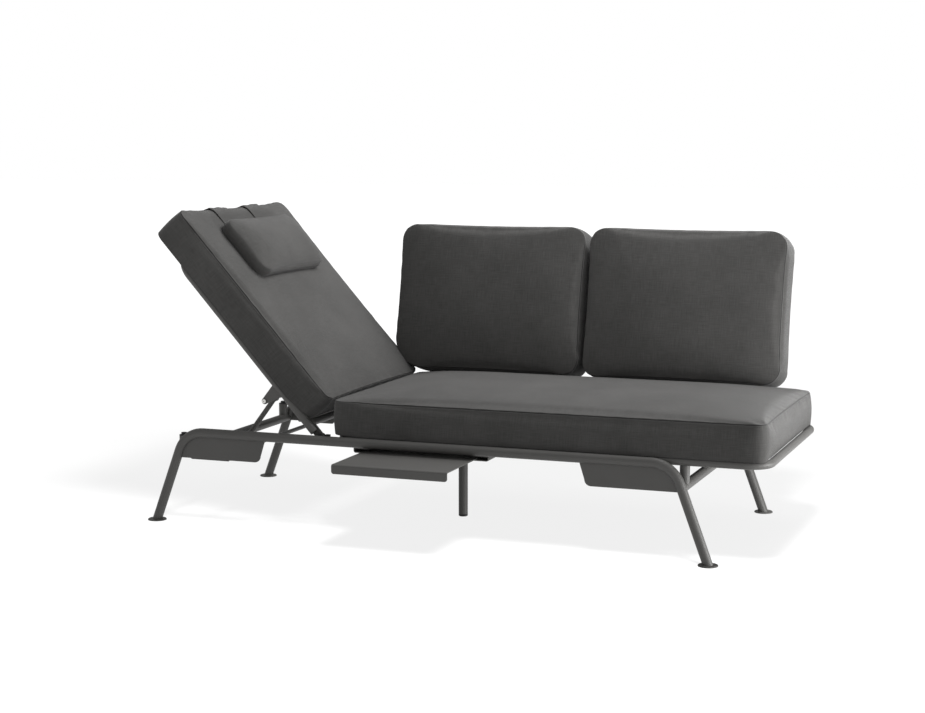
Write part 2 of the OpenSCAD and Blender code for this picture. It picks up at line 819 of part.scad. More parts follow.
// Folded channel that the right edge of the tray runs in, hung under the platform tube at the front
module tray_guide() {
    inner_x = tray_edge_x - guide_lap;
    corner = [for (i = [0 : arc_steps]) let (a = 270 + 90 * i / arc_steps)
        [guide_outer_x - guide_corner_r + guide_corner_r * cos(a),
            guide_bottom_z + guide_corner_r + guide_corner_r * sin(a)]];
    translate([0, -guide_back_y, 0]) rotate([90, 0, 0]) linear_extrude(guide_front_y - guide_back_y)
        polygon(concat([[inner_x, guide_lip_z], [inner_x, guide_bottom_z]], corner,
            [[guide_outer_x, guide_head_z], [inner_x, guide_head_z], [inner_x, guide_head_z - guide_wall],
            [guide_outer_x - guide_wall, guide_head_z - guide_wall],
            [guide_outer_x - guide_wall, guide_lip_z]]));
    difference() {
        translate([guide_outer_x - hanger_w, -guide_front_y, guide_head_z])
            cube([hanger_w, guide_front_y - ring_y + ring_r, ring_z - guide_head_z]);
        platform_ring_solid(ring_d + 2 * seat_gap);
        leg_frame_solid(tube_d + 2 * seat_gap);
    }
}

module right_tray_guide() {
    color(anthracite) tray_guide();
}

module left_tray_guide() {
    color(anthracite) mirror([1, 0, 0]) tray_guide();
}

module tray_guide_tie() {
    tie_t = centre_tube_z - centre_bar_d / 2 - seat_gap - guide_head_z;
    color(anthracite) translate([-guide_outer_x, -tie_front_y, guide_head_z])
        cube([2 * guide_outer_x, tie_w, tie_t]);
}

// Nylon strips that the tray slides on, with a rib that keeps it straight
module tray_glides() {
    strip_w = guide_lap + seat_gap + tray_glide_t;
    strip_l = guide_front_y - guide_back_y;
    color(black) for (side = [0, 1]) mirror([side, 0, 0])
        translate([tray_edge_x - guide_lap, -guide_front_y, guide_lip_z]) {
            cube([strip_w, strip_l, tray_glide_t]);
            translate([guide_lap + seat_gap, 0, 0]) cube([tray_glide_t, strip_l, tray_z - guide_lip_z]);
        }
}

// Backrest frames

module leaned(x) {
    translate([x, back_front_y, back_bottom_z]) rotate([-back_lean, 0, 0]) children();
}

// Inverted U of solid bar that leans with the cushion
module back_frame_solid(d) {
    half = back_frame_w / 2;
    bend = back_frame_h - ring_corner_r;
    translate([0, back_frame_n, 0]) {
        for (side = [-1, 1]) translate([side * half, 0, -back_leg_l]) cylinder(d = d, h = bend + back_leg_l);
        translate([0, 0, back_frame_h]) rod_x(d, back_frame_w - 2 * ring_corner_r);
        translate([half - ring_corner_r, 0, bend]) bend_xz(ring_corner_r, d, 0, 90);
        translate([ring_corner_r - half, 0, bend]) bend_xz(ring_corner_r, d, 90, 90);
    }
}

module back_frame(x) {
    color(anthracite) difference() {
        leaned(x) back_frame_solid(ring_d);
        leaned(x) back_frame_solid(ring_d - 2 * tube_wall);
    }
}

// Stubs that carry a backrest frame on the rear rail
module back_stubs(x) {
    half = back_frame_w / 2;
    color(anthracite) difference() {
        for (side = [-1, 1]) translate([x + side * half, (rail_y + back_foot_y) / 2, rail_z])
            rod_y(back_stub_d, back_foot_y - rail_y);
        for (side = [-1, 1]) translate([x + side * half, (rail_y + back_foot_y) / 2, rail_z])
            rod_y(back_stub_d - 2 * tube_wall, back_foot_y - rail_y + overrun);
        translate([x, rail_y, rail_z]) rod_x(tube_d, 2 * back_frame_w);
        leaned(x) for (side = [-1, 1]) translate([side * half, back_frame_n, -back_leg_l])
            cylinder(d = ring_d, h = back_leg_l);
    }
}

module back_bars(x) {
    span = back_frame_w;
    color(anthracite) leaned(x) for (i = [0 : back_bar_count - 1]) {
        share = back_first_bar_share
            + (back_last_bar_share - back_first_bar_share) * i / (back_bar_count - 1);
        translate([-span / 2, back_frame_n - ring_r - slat_t, back_frame_h * share - back_bar_w / 2])
            cube([span, slat_t, back_bar_w]);
    }
}

module left_back_frame() {
    back_frame(back_pair_x[0]);
}

module right_back_frame() {
    back_frame(back_pair_x[1]);
}

module left_back_stubs() {
    back_stubs(back_pair_x[0]);
}

module right_back_stubs() {
    back_stubs(back_pair_x[1]);
}

module left_back_bars() {
    back_bars(back_pair_x[0]);
}

module right_back_bars() {
    back_bars(back_pair_x[1]);
}

// Cushions: rings of points stacked from the lower face, up the side band and over the crown

function arc(centre, r, from) = [for (i = [0 : arc_steps - 1])
    centre + r * [cos(from + 90 * i / arc_steps), sin(from + 90 * i / arc_steps)]];

function run(p, q) = [for (i = [0 : edge_steps - 1]) p + (q - p) * i / edge_steps];

// Rectangle of half sizes a and b with corners of radius r, and of radius s at its lower left
function pad_outline(a, b, r, s) = concat(
    arc([a - r, b - r], r, 0), run([a - r, b], [r - a, b]),
    arc([r - a, b - r], r, 90), run([-a, b - r], [-a, s - b]),
    arc([s - a, s - b], s, 180), run([s - a, -b], [a - r, -b]),
    arc([a - r, r - b], r, 270), run([a, r - b], [a, b - r]));

// The sides come in between the corners, by the most at their middle
function drawn_in(p, a, b, pull) = [
    p[0] * (1 - pull / a * max(0, 1 - pow(p[1] / b, 2))),
    p[1] * (1 - pull / b * max(0, 1 - pow(p[0] / a, 2)))];

// Rise of the crown at a distance from the seam, from 0 at the seam to 1 over the middle
function crown_rise(d, reach) = pow(sin(90 * min(d / reach, 1)), crown_power);

function crown_inset(i, reach) = reach * pow(i / crown_steps, inset_power);

// Each ring is [inset from the seam outline, height]
function pad_rings(b, t, top, bottom) = let (reach = b * crown_reach_share) concat(
    bottom > 0 ? [for (i = [crown_steps : -1 : 1]) let (d = crown_inset(i, reach))
        [d, -bottom * crown_rise(d, reach)]] : [],
    [for (i = [0 : band_steps]) [-band_swell * sin(180 * i / band_steps), t * i / band_steps]],
    [for (i = [1 : crown_steps]) let (d = crown_inset(i, reach)) [d, t + top * crown_rise(d, reach)]]);

module pad(l, w, t, corner_r, top, bottom, low_left_r) {
    a = l / 2;
    b = w / 2;
    rings = pad_rings(b, t, top, bottom);
    tight_r = corner_r / 6;
    points = [for (ring = rings) let (d = ring[0], ra = a - d, rb = b - d)
        for (p = pad_outline(ra, rb, max(corner_r - d, tight_r), max(low_left_r - d, tight_r)))
            let (q = drawn_in(p, ra, rb, side_pull)) [q[0], q[1], ring[1]]];
    n = 4 * (arc_steps + edge_steps);
    last = len(rings) - 1;
    sides = [for (k = [0 : last - 1], i = [0 : n - 1]) let (
        j = (i + 1) % n,
        p = k * n + i,
        q = k * n + j)
        each [[p, p + n, q], [q, p + n, q + n]]];
    polyhedron(points, concat([[for (i = [0 : n - 1]) i]], sides, [[for (i = [n - 1 : -1 : 0]) last * n + i]]));
}

module seat_cushion() {
    color(fabric) translate([seat_left_x + seat_l / 2, 0, platform_top_z + seat_gap])
        pad(seat_l, seat_w, band_h, seat_corner_r, seat_crown, 0, seat_corner_r);
}

module back_cushion(x, low_left_r) {
    color(fabric) leaned(x) translate([0, back_t, back_h / 2]) rotate([90, 0, 0])
        pad(back_w, back_h, back_t, back_corner_r, back_crown, back_crown, low_left_r);
}

module left_back_cushion() {
    back_cushion(back_pair_x[0], pressed_corner_r);
}

module right_back_cushion() {
    back_cushion(back_pair_x[1], back_corner_r);
}

module recliner_cushion() {
    middle_u = recliner_cushion_u + recliner_cushion_l / 2;
    color(fabric) raised() translate([-middle_u, 0, cushion_bottom_w])
        pad(recliner_cushion_l, seat_w, recliner_band_h, seat_corner_r, recliner_crown, 0, seat_corner_r);
}

// Flat straps, sewn to the lower end seam of the cushion, that run up over its end and under the pillow
module pillow_straps() {
    top_u = recliner_cushion_u + recliner_cushion_l
        - side_pull * (1 - pow((strap_y + strap_w / 2) / seat_half_w, 2));
    reach = seat_half_w * crown_reach_share;
    seam_w = cushion_bottom_w + recliner_band_h;
    steps = 12;
    face = [for (i = [0 : steps]) let (d = (top_u - strap_end_u) * pow(1 - i / steps, 2))
        [top_u - d, seam_w + recliner_crown * crown_rise(d, reach)]];
    band = [for (i = [1 : steps - 1]) let (k = i / steps)
        [top_u + band_swell * sin(180 * k), seam_w - recliner_band_h * k]];
    function off(p, q, s) = let (along = (q - p) / norm(q - p)) s * [-along[1], along[0]];
    path = concat(face, band);
    last = len(path) - 1;
    function shifted(s) = [for (i = [0 : last])
        path[i] + off(path[max(i - 1, 0)], path[min(i + 1, last)], s)];
    near = shifted(seat_gap);
    far = shifted(seat_gap + strap_t);
    section = concat(near, [for (i = [last : -1 : 0]) far[i]]);
    color(fabric) raised() for (side = [-1, 1])
        translate([0, side * strap_y + strap_w / 2, 0]) rotate([90, 0, 0]) linear_extrude(strap_w)
            polygon([for (p = section) [-p[0], p[1]]]);
}

module head_pillow() {
    lift = cushion_bottom_w + recliner_band_h + recliner_crown + pillow_lift;
    color(fabric) raised() translate([-pillow_u, 0, lift]) rotate([0, 0, 90])
        pad(pillow_l, pillow_w, pillow_t, pillow_corner_r, pillow_crown, 0, pillow_corner_r);
}

front_leg_frame();
rear_leg_frame();
front_left_panel();
front_right_panel();
rear_left_panel();
rear_right_panel();
left_cross_tube();
right_cross_tube();
left_stubs();
right_stubs();
rest_pads();
foot_plates();
centre_leg();
centre_cross_tube();
centre_glide();
seat_ring_right();
seat_ring_left();
seat_slats();
hinge_ears();
hinge_washers();
hinge_stops();
hinge_pins();
hinge_spacers();
front_prop_guide();
rear_prop_guide();
left_tray_guide();
right_tray_guide();
tray_guide_tie();
tray_glides();
left_back_frame();
right_back_frame();
left_back_stubs();
right_back_stubs();
left_back_bars();
right_back_bars();
seat_cushion();
left_back_cushion();
right_back_cushion();
recliner_frame();
recliner_slats();
recliner_cross_bar();
hinge_lugs();
prop_brackets();
pivot_rod();
pivot_bolts();
prop_arms();
foot_rod();
foot_rod_collars();
recliner_cushion();
pillow_straps();
head_pillow();
tray();
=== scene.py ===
"""Looks of the garden sofa: stuffed cushions in woven cloth on a powder-coated tube frame."""

import json
import math

import bpy
import numpy as np
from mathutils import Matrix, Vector
from mathutils.bvhtree import BVHTree


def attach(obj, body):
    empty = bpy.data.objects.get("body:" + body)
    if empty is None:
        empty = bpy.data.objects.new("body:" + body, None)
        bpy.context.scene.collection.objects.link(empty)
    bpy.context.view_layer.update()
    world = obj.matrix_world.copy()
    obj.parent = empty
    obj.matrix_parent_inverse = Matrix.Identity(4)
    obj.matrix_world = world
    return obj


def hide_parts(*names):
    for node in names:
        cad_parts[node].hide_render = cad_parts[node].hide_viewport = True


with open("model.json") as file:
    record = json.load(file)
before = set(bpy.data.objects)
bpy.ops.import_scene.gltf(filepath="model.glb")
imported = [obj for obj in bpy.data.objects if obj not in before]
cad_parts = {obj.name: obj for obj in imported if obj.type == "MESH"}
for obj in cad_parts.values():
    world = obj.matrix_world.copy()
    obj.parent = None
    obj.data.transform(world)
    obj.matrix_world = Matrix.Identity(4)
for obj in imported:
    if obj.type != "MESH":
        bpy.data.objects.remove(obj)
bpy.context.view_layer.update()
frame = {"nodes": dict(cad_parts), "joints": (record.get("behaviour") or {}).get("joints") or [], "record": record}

# Camera, fitted to the straight tubes and the feet: metres, degrees and millimetres
CAMERA_PLACE = (2.0833, -5.5579, 1.2709)
CAMERA_PITCH = 7.179
CAMERA_YAW = 20.571
CAMERA_LENS = 72.18
CAMERA_SENSOR = 36
CAMERA_REACH = 100

# Cushions, in metres: crowns are the rise of a face over its seams, fuller is what a cushion has over its
# CAD solid, and the rim is the lower edge that hangs over the tubes
BACK_LEAN = math.radians(12)
SEAT_CROWN = 0.024
RECLINER_CROWN = 0.010
BACK_CROWN = 0.024
BACK_FOOT = 0.018
SEAT_FULLER = 0.009
SEAT_LEFT_FULLER = 0.002
HELD_END = 0.01
RECLINER_END_FULLER = 0.014
RIM_SIDE = 0.3848
RIM_REACH = 0.012
RIM_START = 0.1
RIM_CLEAR = 0.0013
RIM_SLIDES = 25
LEVEL = 1e-6
SEAT_RIM_DROP = 0.004
RECLINER_RIM_DROP = 0.0075
PILLOW_CROWN = 0.030
CROWN_REACH_SHARE = 0.86
CROWN_POWER = 0.62
BAND_SWELL = 0.004
SIDE_PULL = 0.006
SEAT_CORNER = 0.038
BACK_CORNER = 0.058
PRESSED_CORNER = 0.117
PILLOW_CORNER = 0.051
SEAT_STEP = 0.012
CUSHION_STEP = 0.009
SEAM_STEPS = (0, 0.002, 0.0045, 0.009, 0.016)
SEAM_DEPTH = 0.0032
SEAM_LIP = 0.0009
FLAT_SEAM_SHARE = 0
PUCKER_DEPTH = 0.0011
PUCKER_REACH = 0.022
PUCKER_WAVES = (0.047, 0.061, 0.083)

# Cloth simulation: points less than HELD_HEIGHT above the cushion's underside don't move
PUFF_PRESSURE = 1.0
PUFF_CAP = 0.004
HELD_HEIGHT = 0.001
NO_MOVE = 1e-9
SIM_FRAMES = 12
CLOTH_QUALITY = 5
CLOTH_MASS = 0.4
CLOTH_STRETCH = 60
CLOTH_SHEAR = 30
CLOTH_BEND = 3

# Colours, as linear red, green and blue
CLOTH_GREY = (0.075, 0.074, 0.072)
CLOTH_DARK = (0.056, 0.055, 0.053)
CLOTH_LIGHT = (0.1, 0.098, 0.095)
# painted shade: near-black laid on the seam grooves in place of the shade that falls into them
SEAM_SHADE = (0.012, 0.012, 0.012)
COAT_GREY = (0.105, 0.103, 0.099)
COAT_DARK = (0.094, 0.092, 0.088)
COAT_LIGHT = (0.116, 0.114, 0.109)
PLASTIC_BLACK = (0.014, 0.014, 0.014)
ZINC_GREY = (0.62, 0.61, 0.59)
ZINC_DARK = (0.5, 0.5, 0.48)
ZINC_LIGHT = (0.72, 0.71, 0.69)

# Cloth pattern: how many slubs and patches fit in a metre, along a thread and across it
SLUBS_ALONG = 22
SLUBS_ACROSS = 420
PATCHES = 5
SLUB_SHARE = 0.7
PATCH_SHARE = 0.3
WEAVE_SCALE = 225.0
WEAVE_BUMP = 0.0006
COAT_BUMP = 0.0004

# Floor: half its side, its glow near and far, its grey under the ground lamp, and the light it gives off
FLOOR_HALF = 30
FLOOR_SHADE = 0.852
FLOOR_FAR_SHADE = 1.1
FLOOR_SHADE_FROM = 2.0
FLOOR_SHADE_TO = 5.0
FLOOR_GREY = 0.05
FLOOR_BOUNCE_UNDER = 0.03
FLOOR_BOUNCE_AROUND = 0.76
FLOOR_BOUNCE_FROM = 0.5
FLOOR_BOUNCE_TO = 2.0

# Light: strength of the sky, and each lamp's place, aim, side of its square and power
SKY_LIGHT = 0.42
GROUND_LAMP = ((0.93, -1.45, 3.3), (0.2, 0, 0), 0.85, 900)
OVERHEAD_LAMP = ((1.1, 0.8, 3.0), (0.2, 0, 0.4), 1.6, 80)
RIGHT_SIDE_LAMP = ((2.2, -0.2, 0.12), (1.0, 0, 0.35), 0.8, 38)

# Straps of the head pillow, in metres; the counts are points along a strap, and STRAP_TOP is the number of
# the point where it stands off most
STRAP_WIDTH = 0.105
STRAP_THICK = 0.003
STRAP_LIFT = 0.0006
STRAP_TURN = 0.03
STRAP_HEM = 0.004
STRAP_LAST_U = 0.56
STRAP_COLUMNS = 9
STRAP_END_POINTS = 14
STRAP_TURN_POINTS = 13
STRAP_FACE_POINTS = 30
STRAP_BULGE = 0.006
STRAP_TOP = 22
STRAP_SPREAD = 8


# Places: each cushion has its own axes, and its size comes from the CAD solid along them

class Place:
    """Origin and three unit axes of a cushion: x along it, y across it, z out of its face."""

    def __init__(self, origin, x_axis, z_axis):
        self.origin = np.array(origin, float)
        x = np.array(x_axis, float)
        z = np.array(z_axis, float)
        self.axes = np.array([x, np.cross(z, x), z])

    def inside(self, points):
        """Points of the frame in the cushion's own axes."""
        return (np.asarray(points) - self.origin) @ self.axes.T

    def outside(self, points):
        """Points in the cushion's own axes back in the frame."""
        return np.asarray(points) @ self.axes + self.origin


def node_points(node):
    """Points of a CAD solid in the frame."""
    mesh = frame["nodes"][node].data
    points = np.empty(len(mesh.vertices) * 3)
    mesh.vertices.foreach_get("co", points)
    return points.reshape(-1, 3)


def node_box(node, place):
    """Lowest and highest corner of a CAD solid along a place's own axes."""
    points = place.inside(node_points(node))
    return points.min(0), points.max(0)


joints = {joint["name"]: joint for joint in frame["joints"]}
hinge = np.array(joints["recliner_hinge"]["pos_m"])
up_recliner = np.array(joints["cushion_slide"]["axis"])
out_recliner = np.array([up_recliner[2], 0, -up_recliner[0]])
seat_place = Place((0, 0, 0), (1, 0, 0), (0, 0, 1))
recliner_place = Place(hinge, up_recliner, out_recliner)
back_out = (0, -math.cos(BACK_LEAN), math.sin(BACK_LEAN))
back_place = Place((0, 0, 0), (1, 0, 0), back_out)
pillow_place = Place(hinge, (0, -1, 0), out_recliner)


# Meshes

def placed(name, data):
    """A new object with its data, in the scene."""
    piece = bpy.data.objects.new(name, data)
    bpy.context.scene.collection.objects.link(piece)
    return piece


def new_piece(name, points, faces):
    """A piece made of points and faces."""
    mesh = bpy.data.meshes.new(name)
    mesh.from_pydata(np.asarray(points).tolist(), [], np.asarray(faces).tolist())
    return placed(name, mesh)


def set_cloth_uv(piece, uv):
    """Cloth coordinates in metres, one pair for each corner of each face."""
    layer = piece.data.uv_layers.new(name="cloth")
    layer.data.foreach_set("uv", uv.astype(np.float32).ravel())


def graded(half, step):
    """Positions from -half to half, close together at both ends and about a step apart between them."""
    edge = half - np.array(SEAM_STEPS)
    inner = edge[-1]
    count = 2 * max(2, round(inner / step))
    middle = np.linspace(-inner, inner, count + 1)[1:-1]
    return np.concatenate([-edge, middle, edge[::-1]])


def rounded(x, y, a, b, r):
    """Square grid points carried into a rectangle of half sides a and b with round corners: inside each
    corner square of side r, p and q from 0 to 1 become p * sqrt(1 - q * q / 2) and q * sqrt(1 - p * p / 2).
    r may differ from point to point, by corner."""
    p = np.clip((np.abs(x) - (a - r)) / r, 0, 1)
    q = np.clip((np.abs(y) - (b - r)) / r, 0, 1)
    corner = (p > 0) & (q > 0)
    round_x = np.sign(x) * (a - r + r * p * np.sqrt(1 - q * q / 2))
    round_y = np.sign(y) * (b - r + r * q * np.sqrt(1 - p * p / 2))
    return np.where(corner, round_x, x), np.where(corner, round_y, y)


def drawn_in(x, y, a, b, pull):
    """Sides come in between the corners: x shrinks by pull / a at y = 0 and by nothing at y = b, and y
    shrinks by pull / b at x = 0 and by nothing at x = a."""
    in_x = 1 - pull / a * np.clip(1 - (y / b) ** 2, 0, 1)
    in_y = 1 - pull / b * np.clip(1 - (x / a) ** 2, 0, 1)
    return x * in_x, y * in_y


def border(columns, rows):
    """Indices of a grid's edge points in order round it, anticlockwise from the lowest corner."""
    index = np.arange(columns * rows).reshape(rows, columns)
    return np.concatenate([index[0, :-1], index[:-1, -1], index[-1, :0:-1], index[:0:-1, 0]])


def grid_quads(columns, rows, offset, flip):
    """Four corners of each cell of a grid of points."""
    index = np.arange(columns * rows).reshape(rows, columns) + offset
    quads = np.stack([index[:-1, :-1], index[:-1, 1:], index[1:, 1:], index[1:, :-1]], -1).reshape(-1, 4)
    return quads[:, ::-1] if flip else quads


def crown_rise(distance, reach):
    """Share of the crown at a distance from the seam: sin(90 degrees * distance / reach) ** CROWN_POWER."""
    return np.sin(np.pi / 2 * np.clip(distance / reach, 0, 1)) ** CROWN_POWER


def side_band(edge, bend, a, b, heights):
    """Points of a side band between two seams, a row for each height between them. The band follows the edge
    and swells outwards by BAND_SWELL * sin(180 degrees * height share). bend is the radius of the corner
    that each point belongs to."""
    core = np.stack([np.clip(edge[:, 0], bend - a, a - bend), np.clip(edge[:, 1], bend - b, b - bend)], -1)
    outward = edge - core
    outward /= np.linalg.norm(outward, axis=1)[:, None]
    seam_low, seam_high = heights[0], heights[-1]
    shares = (heights[1:-1] - seam_low) / (seam_high - seam_low)
    swell = BAND_SWELL * np.sin(np.pi * shares)
    return np.concatenate([
        np.repeat(edge[None], len(shares), 0) + outward[None] * swell[:, None, None],
        np.repeat(heights[1:-1, None], len(edge), 1)[:, :, None]], -1).reshape(-1, 3)


def boxed_cover(name, low, high, corner, crown_top, crown_bottom, step, low_left=None):
    """Closed cover of a boxed cushion between two corners: a top and a bottom panel joined by a side band.
    A panel rises by its crown times crown_rise from each pair of sides. Panel and band meet at the seams.
    low_left is the radius of the corner at the low end of both x and y, where it isn't the same as the
    others. What sewing and hanging need comes back with the piece: the points of the seams, and each point's
    distance from the nearest seam and way round the cushion."""
    a = (high[0] - low[0]) / 2 - BAND_SWELL
    b = (high[1] - low[1]) / 2 - BAND_SWELL
    seam_low = low[2] + crown_bottom
    seam_high = high[2] - crown_top
    xs, ys = graded(a, step), graded(b, step)
    grid_x, grid_y = np.meshgrid(xs, ys)
    radius = np.where((grid_x < 0) & (grid_y < 0), low_left or corner, corner)
    flat_x, flat_y = rounded(grid_x, grid_y, a, b, radius)
    flat_x, flat_y = drawn_in(flat_x, flat_y, a, b, SIDE_PULL)
    reach = b * CROWN_REACH_SHARE
    rise = crown_rise(a - np.abs(grid_x), reach) * crown_rise(b - np.abs(grid_y), reach)
    top = np.stack([flat_x, flat_y, seam_high + crown_top * rise], -1).reshape(-1, 3)
    bottom = np.stack([flat_x, flat_y, seam_low - crown_bottom * rise], -1).reshape(-1, 3)
    panel = len(top)
    ring = border(len(xs), len(ys))
    count = len(ring)
    edge = top[ring, :2]
    heights = graded((seam_high - seam_low) / 2, step) + (seam_high + seam_low) / 2
    band = side_band(edge, radius.ravel()[ring], a, b, heights)
    centre = np.array([(high[0] + low[0]) / 2, (high[1] + low[1]) / 2, 0])
    points = np.concatenate([top, bottom, band]) + centre
    levels = np.concatenate([[ring + panel], 2 * panel + np.arange(len(band)).reshape(-1, count), [ring]])
    after = np.roll(levels, -1, axis=1)
    sides = np.stack([levels[:-1], after[:-1], after[1:], levels[1:]], -1).reshape(-1, 4)
    faces = np.concatenate([
        grid_quads(len(xs), len(ys), 0, False), grid_quads(len(xs), len(ys), panel, True), sides])
    piece = new_piece(name, points, faces)
    run = np.concatenate([[0], np.cumsum(np.linalg.norm(np.roll(edge, -1, 0) - edge, axis=1))])
    panel_faces = 2 * (len(xs) - 1) * (len(ys) - 1)
    uv = panel_uv(points, faces[:panel_faces])
    side_uv = band_uv(run, heights, count)
    set_cloth_uv(piece, np.concatenate([uv, side_uv]))
    near = np.minimum(a - np.abs(grid_x), b - np.abs(grid_y)).ravel()
    rows = np.minimum(heights[1:-1] - seam_low, seam_high - heights[1:-1])
    distance = np.concatenate([near, near, np.repeat(rows, count)])
    way = run[:-1]
    nearest = np.argmin(np.abs(np.arctan2(flat_y.ravel()[:, None], flat_x.ravel()[:, None])
                               - np.arctan2(edge[:, 1], edge[:, 0])[None]), 1)
    along = np.concatenate([way[nearest], way[nearest], np.tile(way, len(rows))])
    lower_share = 1 if crown_bottom else FLAT_SEAM_SHARE
    return piece, {"seams": [ring, ring + panel], "distance": distance, "along": along,
                   "seam_high": seam_high, "lower_share": lower_share}


def mark(mesh, name, values):
    """Stores one number for each point of a mesh, for its material to read."""
    attribute = mesh.attributes.new(name, "FLOAT", "POINT")
    attribute.data.foreach_set("value", np.asarray(values, np.float32))


def panel_uv(points, faces):
    """Cloth coordinates of a panel, in metres: the place seen from above."""
    return points[faces.ravel(), :2]


def band_uv(run, heights, count):
    """Cloth coordinates of the side band, in metres: the way round the seam and the height."""
    along = np.stack([run[:-1], run[1:], run[1:], run[:-1]], -1)
    rows = []
    for low, high in zip(heights[:-1], heights[1:]):
        height = np.broadcast_to([low, low, high, high], (count, 4))
        rows.append(np.stack([along, height], -1).reshape(-1, 2))
    return np.concatenate(rows)


def points_of(piece):
    """Points of a piece, one row each."""
    points = np.empty(len(piece.data.vertices) * 3)
    piece.data.vertices.foreach_get("co", points)
    return points.reshape(-1, 3)


def set_points(piece, points):
    """Moves a piece's points."""
    piece.data.vertices.foreach_set("co", np.asarray(points, np.float32).ravel())
    piece.data.update()


def normals_of(piece):
    """Outward direction at each point of a piece."""
    normals = np.empty(len(piece.data.vertices) * 3)
    piece.data.vertices.foreach_get("normal", normals)
    return normals.reshape(-1, 3)


def puffed(piece, pressure, cap, held):
    """Blows a cover up with cloth pressure and no gravity, holds the points in held, and lets no point move
    further than cap from its start."""
    start = points_of(piece)
    group = piece.vertex_groups.new(name="held")
    group.add([int(i) for i in np.flatnonzero(held)], 1.0, "REPLACE")
    cloth = piece.modifiers.new("cover", "CLOTH")
    settings = cloth.settings
    settings.quality = CLOTH_QUALITY
    settings.mass = CLOTH_MASS
    settings.tension_stiffness = CLOTH_STRETCH
    settings.compression_stiffness = CLOTH_STRETCH
    settings.shear_stiffness = CLOTH_SHEAR
    settings.bending_stiffness = CLOTH_BEND
    settings.use_pressure = True
    settings.uniform_pressure_force = pressure
    settings.effector_weights.gravity = 0
    settings.vertex_group_mass = "held"
    cloth.point_cache.frame_start = 1
    cloth.point_cache.frame_end = SIM_FRAMES
    for number in range(1, SIM_FRAMES + 1):
        bpy.context.scene.frame_set(number)
    blown = np.empty(len(start) * 3)
    graph = bpy.context.evaluated_depsgraph_get()
    piece.evaluated_get(graph).data.vertices.foreach_get("co", blown)
    piece.modifiers.remove(cloth)
    piece.vertex_groups.remove(group)
    bpy.context.scene.frame_set(1)
    move = blown.reshape(-1, 3) - start
    length = np.linalg.norm(move, axis=1)[:, None]
    set_points(piece, start + move * np.minimum(1, cap / np.maximum(length, NO_MOVE)))


def sewn(piece, cover):
    """Each seam is a thin groove: its own points go in by SEAM_DEPTH, and the points beside it stand proud
    by SEAM_LIP. Near it the cloth puckers by PUCKER_DEPTH times the mean of sin(360 degrees * way / wave)
    over PUCKER_WAVES, fading as exp(-distance / PUCKER_REACH)."""
    normals = normals_of(piece)
    points = points_of(piece)
    beside = np.zeros(len(points), bool)
    seam = np.zeros(len(points), bool)
    for ring in cover["seams"]:
        seam[ring] = True
    edges = np.empty(len(piece.data.edges) * 2, int)
    piece.data.edges.foreach_get("vertices", edges)
    edges = edges.reshape(-1, 2)
    touching = seam[edges[:, 0]] != seam[edges[:, 1]]
    beside[edges[touching].ravel()] = True
    beside &= ~seam
    waves = sum(np.sin(2 * np.pi * cover["along"] / wave + place) for place, wave in enumerate(PUCKER_WAVES))
    pucker = PUCKER_DEPTH * waves * np.exp(-cover["distance"] / PUCKER_REACH) / len(PUCKER_WAVES)
    share = np.where(points[:, 2] < points[:, 2].mean(), cover["lower_share"], 1)[:, None]
    points += normals * share * np.where(seam, 0, pucker)[:, None]
    points[seam] -= (normals * share)[seam] * SEAM_DEPTH
    points[beside] += (normals * share)[beside] * SEAM_LIP
    set_points(piece, points)
    # the seam points are stored for the cloth material, which paints shade along the grooves
    mark(piece.data, "seam", seam)


def support(place, nodes):
    """Search tree of CAD solids in a place's own axes."""
    points, faces = [], []
    for node in nodes:
        offset = len(points)
        points += place.inside(node_points(node)).tolist()
        polygons = frame["nodes"][node].data.polygons
        faces += [[offset + corner for corner in face.vertices] for face in polygons]
    return BVHTree.FromPolygons(points, faces)


def hung(piece, cover, box, tree, drop, slides):
    """Lower edge of a cushion that lies on a ring of tubes. From the upper seam to the lower one the long
    sides spread to RIM_SIDE by the square of the way down, and the edge hangs down by drop, but never lower
    than RIM_CLEAR above the solids under it, wherever the cushion slides. Nothing hangs at the low end."""
    low, high = box
    x, y, z = points_of(piece).T
    middle, half = (high[0] + low[0]) / 2, (high[0] - low[0]) / 2 - BAND_SWELL
    side = (high[1] - low[1]) / 2 - BAND_SWELL
    edge = side - SIDE_PULL * np.clip(1 - ((x - middle) / half) ** 2, 0, 1)
    away = np.clip((x - low[0]) / RIM_START, 0, 1)
    down = np.clip((cover["seam_high"] - z) / (cover["seam_high"] - low[2]), 0, 1) ** 2
    inside = np.where(z < low[2] + LEVEL, np.clip(2 - cover["distance"] / RIM_REACH * 2, 0, 1), 1)
    spread = y * (1 + (RIM_SIDE / edge - 1) * down * away)
    hanging = z - drop * down * away * inside
    for number in np.flatnonzero((hanging < low[2] + drop) & (cover["distance"] < 2 * RIM_REACH)):
        tops = [tree.ray_cast(Vector((x[number] - slide, spread[number], high[2])), Vector((0, 0, -1)))[0]
                for slide in slides]
        levels = [top[2] + RIM_CLEAR for top in tops if top]
        hanging[number] = max([hanging[number]] + levels)
    set_points(piece, np.stack([x, spread, hanging], -1))


def finished(piece, place, body, node):
    """Puts a cover from its own axes into the frame and smooths it. It rides in place of its CAD solid."""
    set_points(piece, place.outside(points_of(piece)))
    piece.data.polygons.foreach_set("use_smooth", [True] * len(piece.data.polygons))
    smooth = piece.modifiers.new("smooth", "SUBSURF")
    smooth.levels = 1
    smooth.render_levels = 1
    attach(piece, body)
    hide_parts(node)
    return piece


# Materials

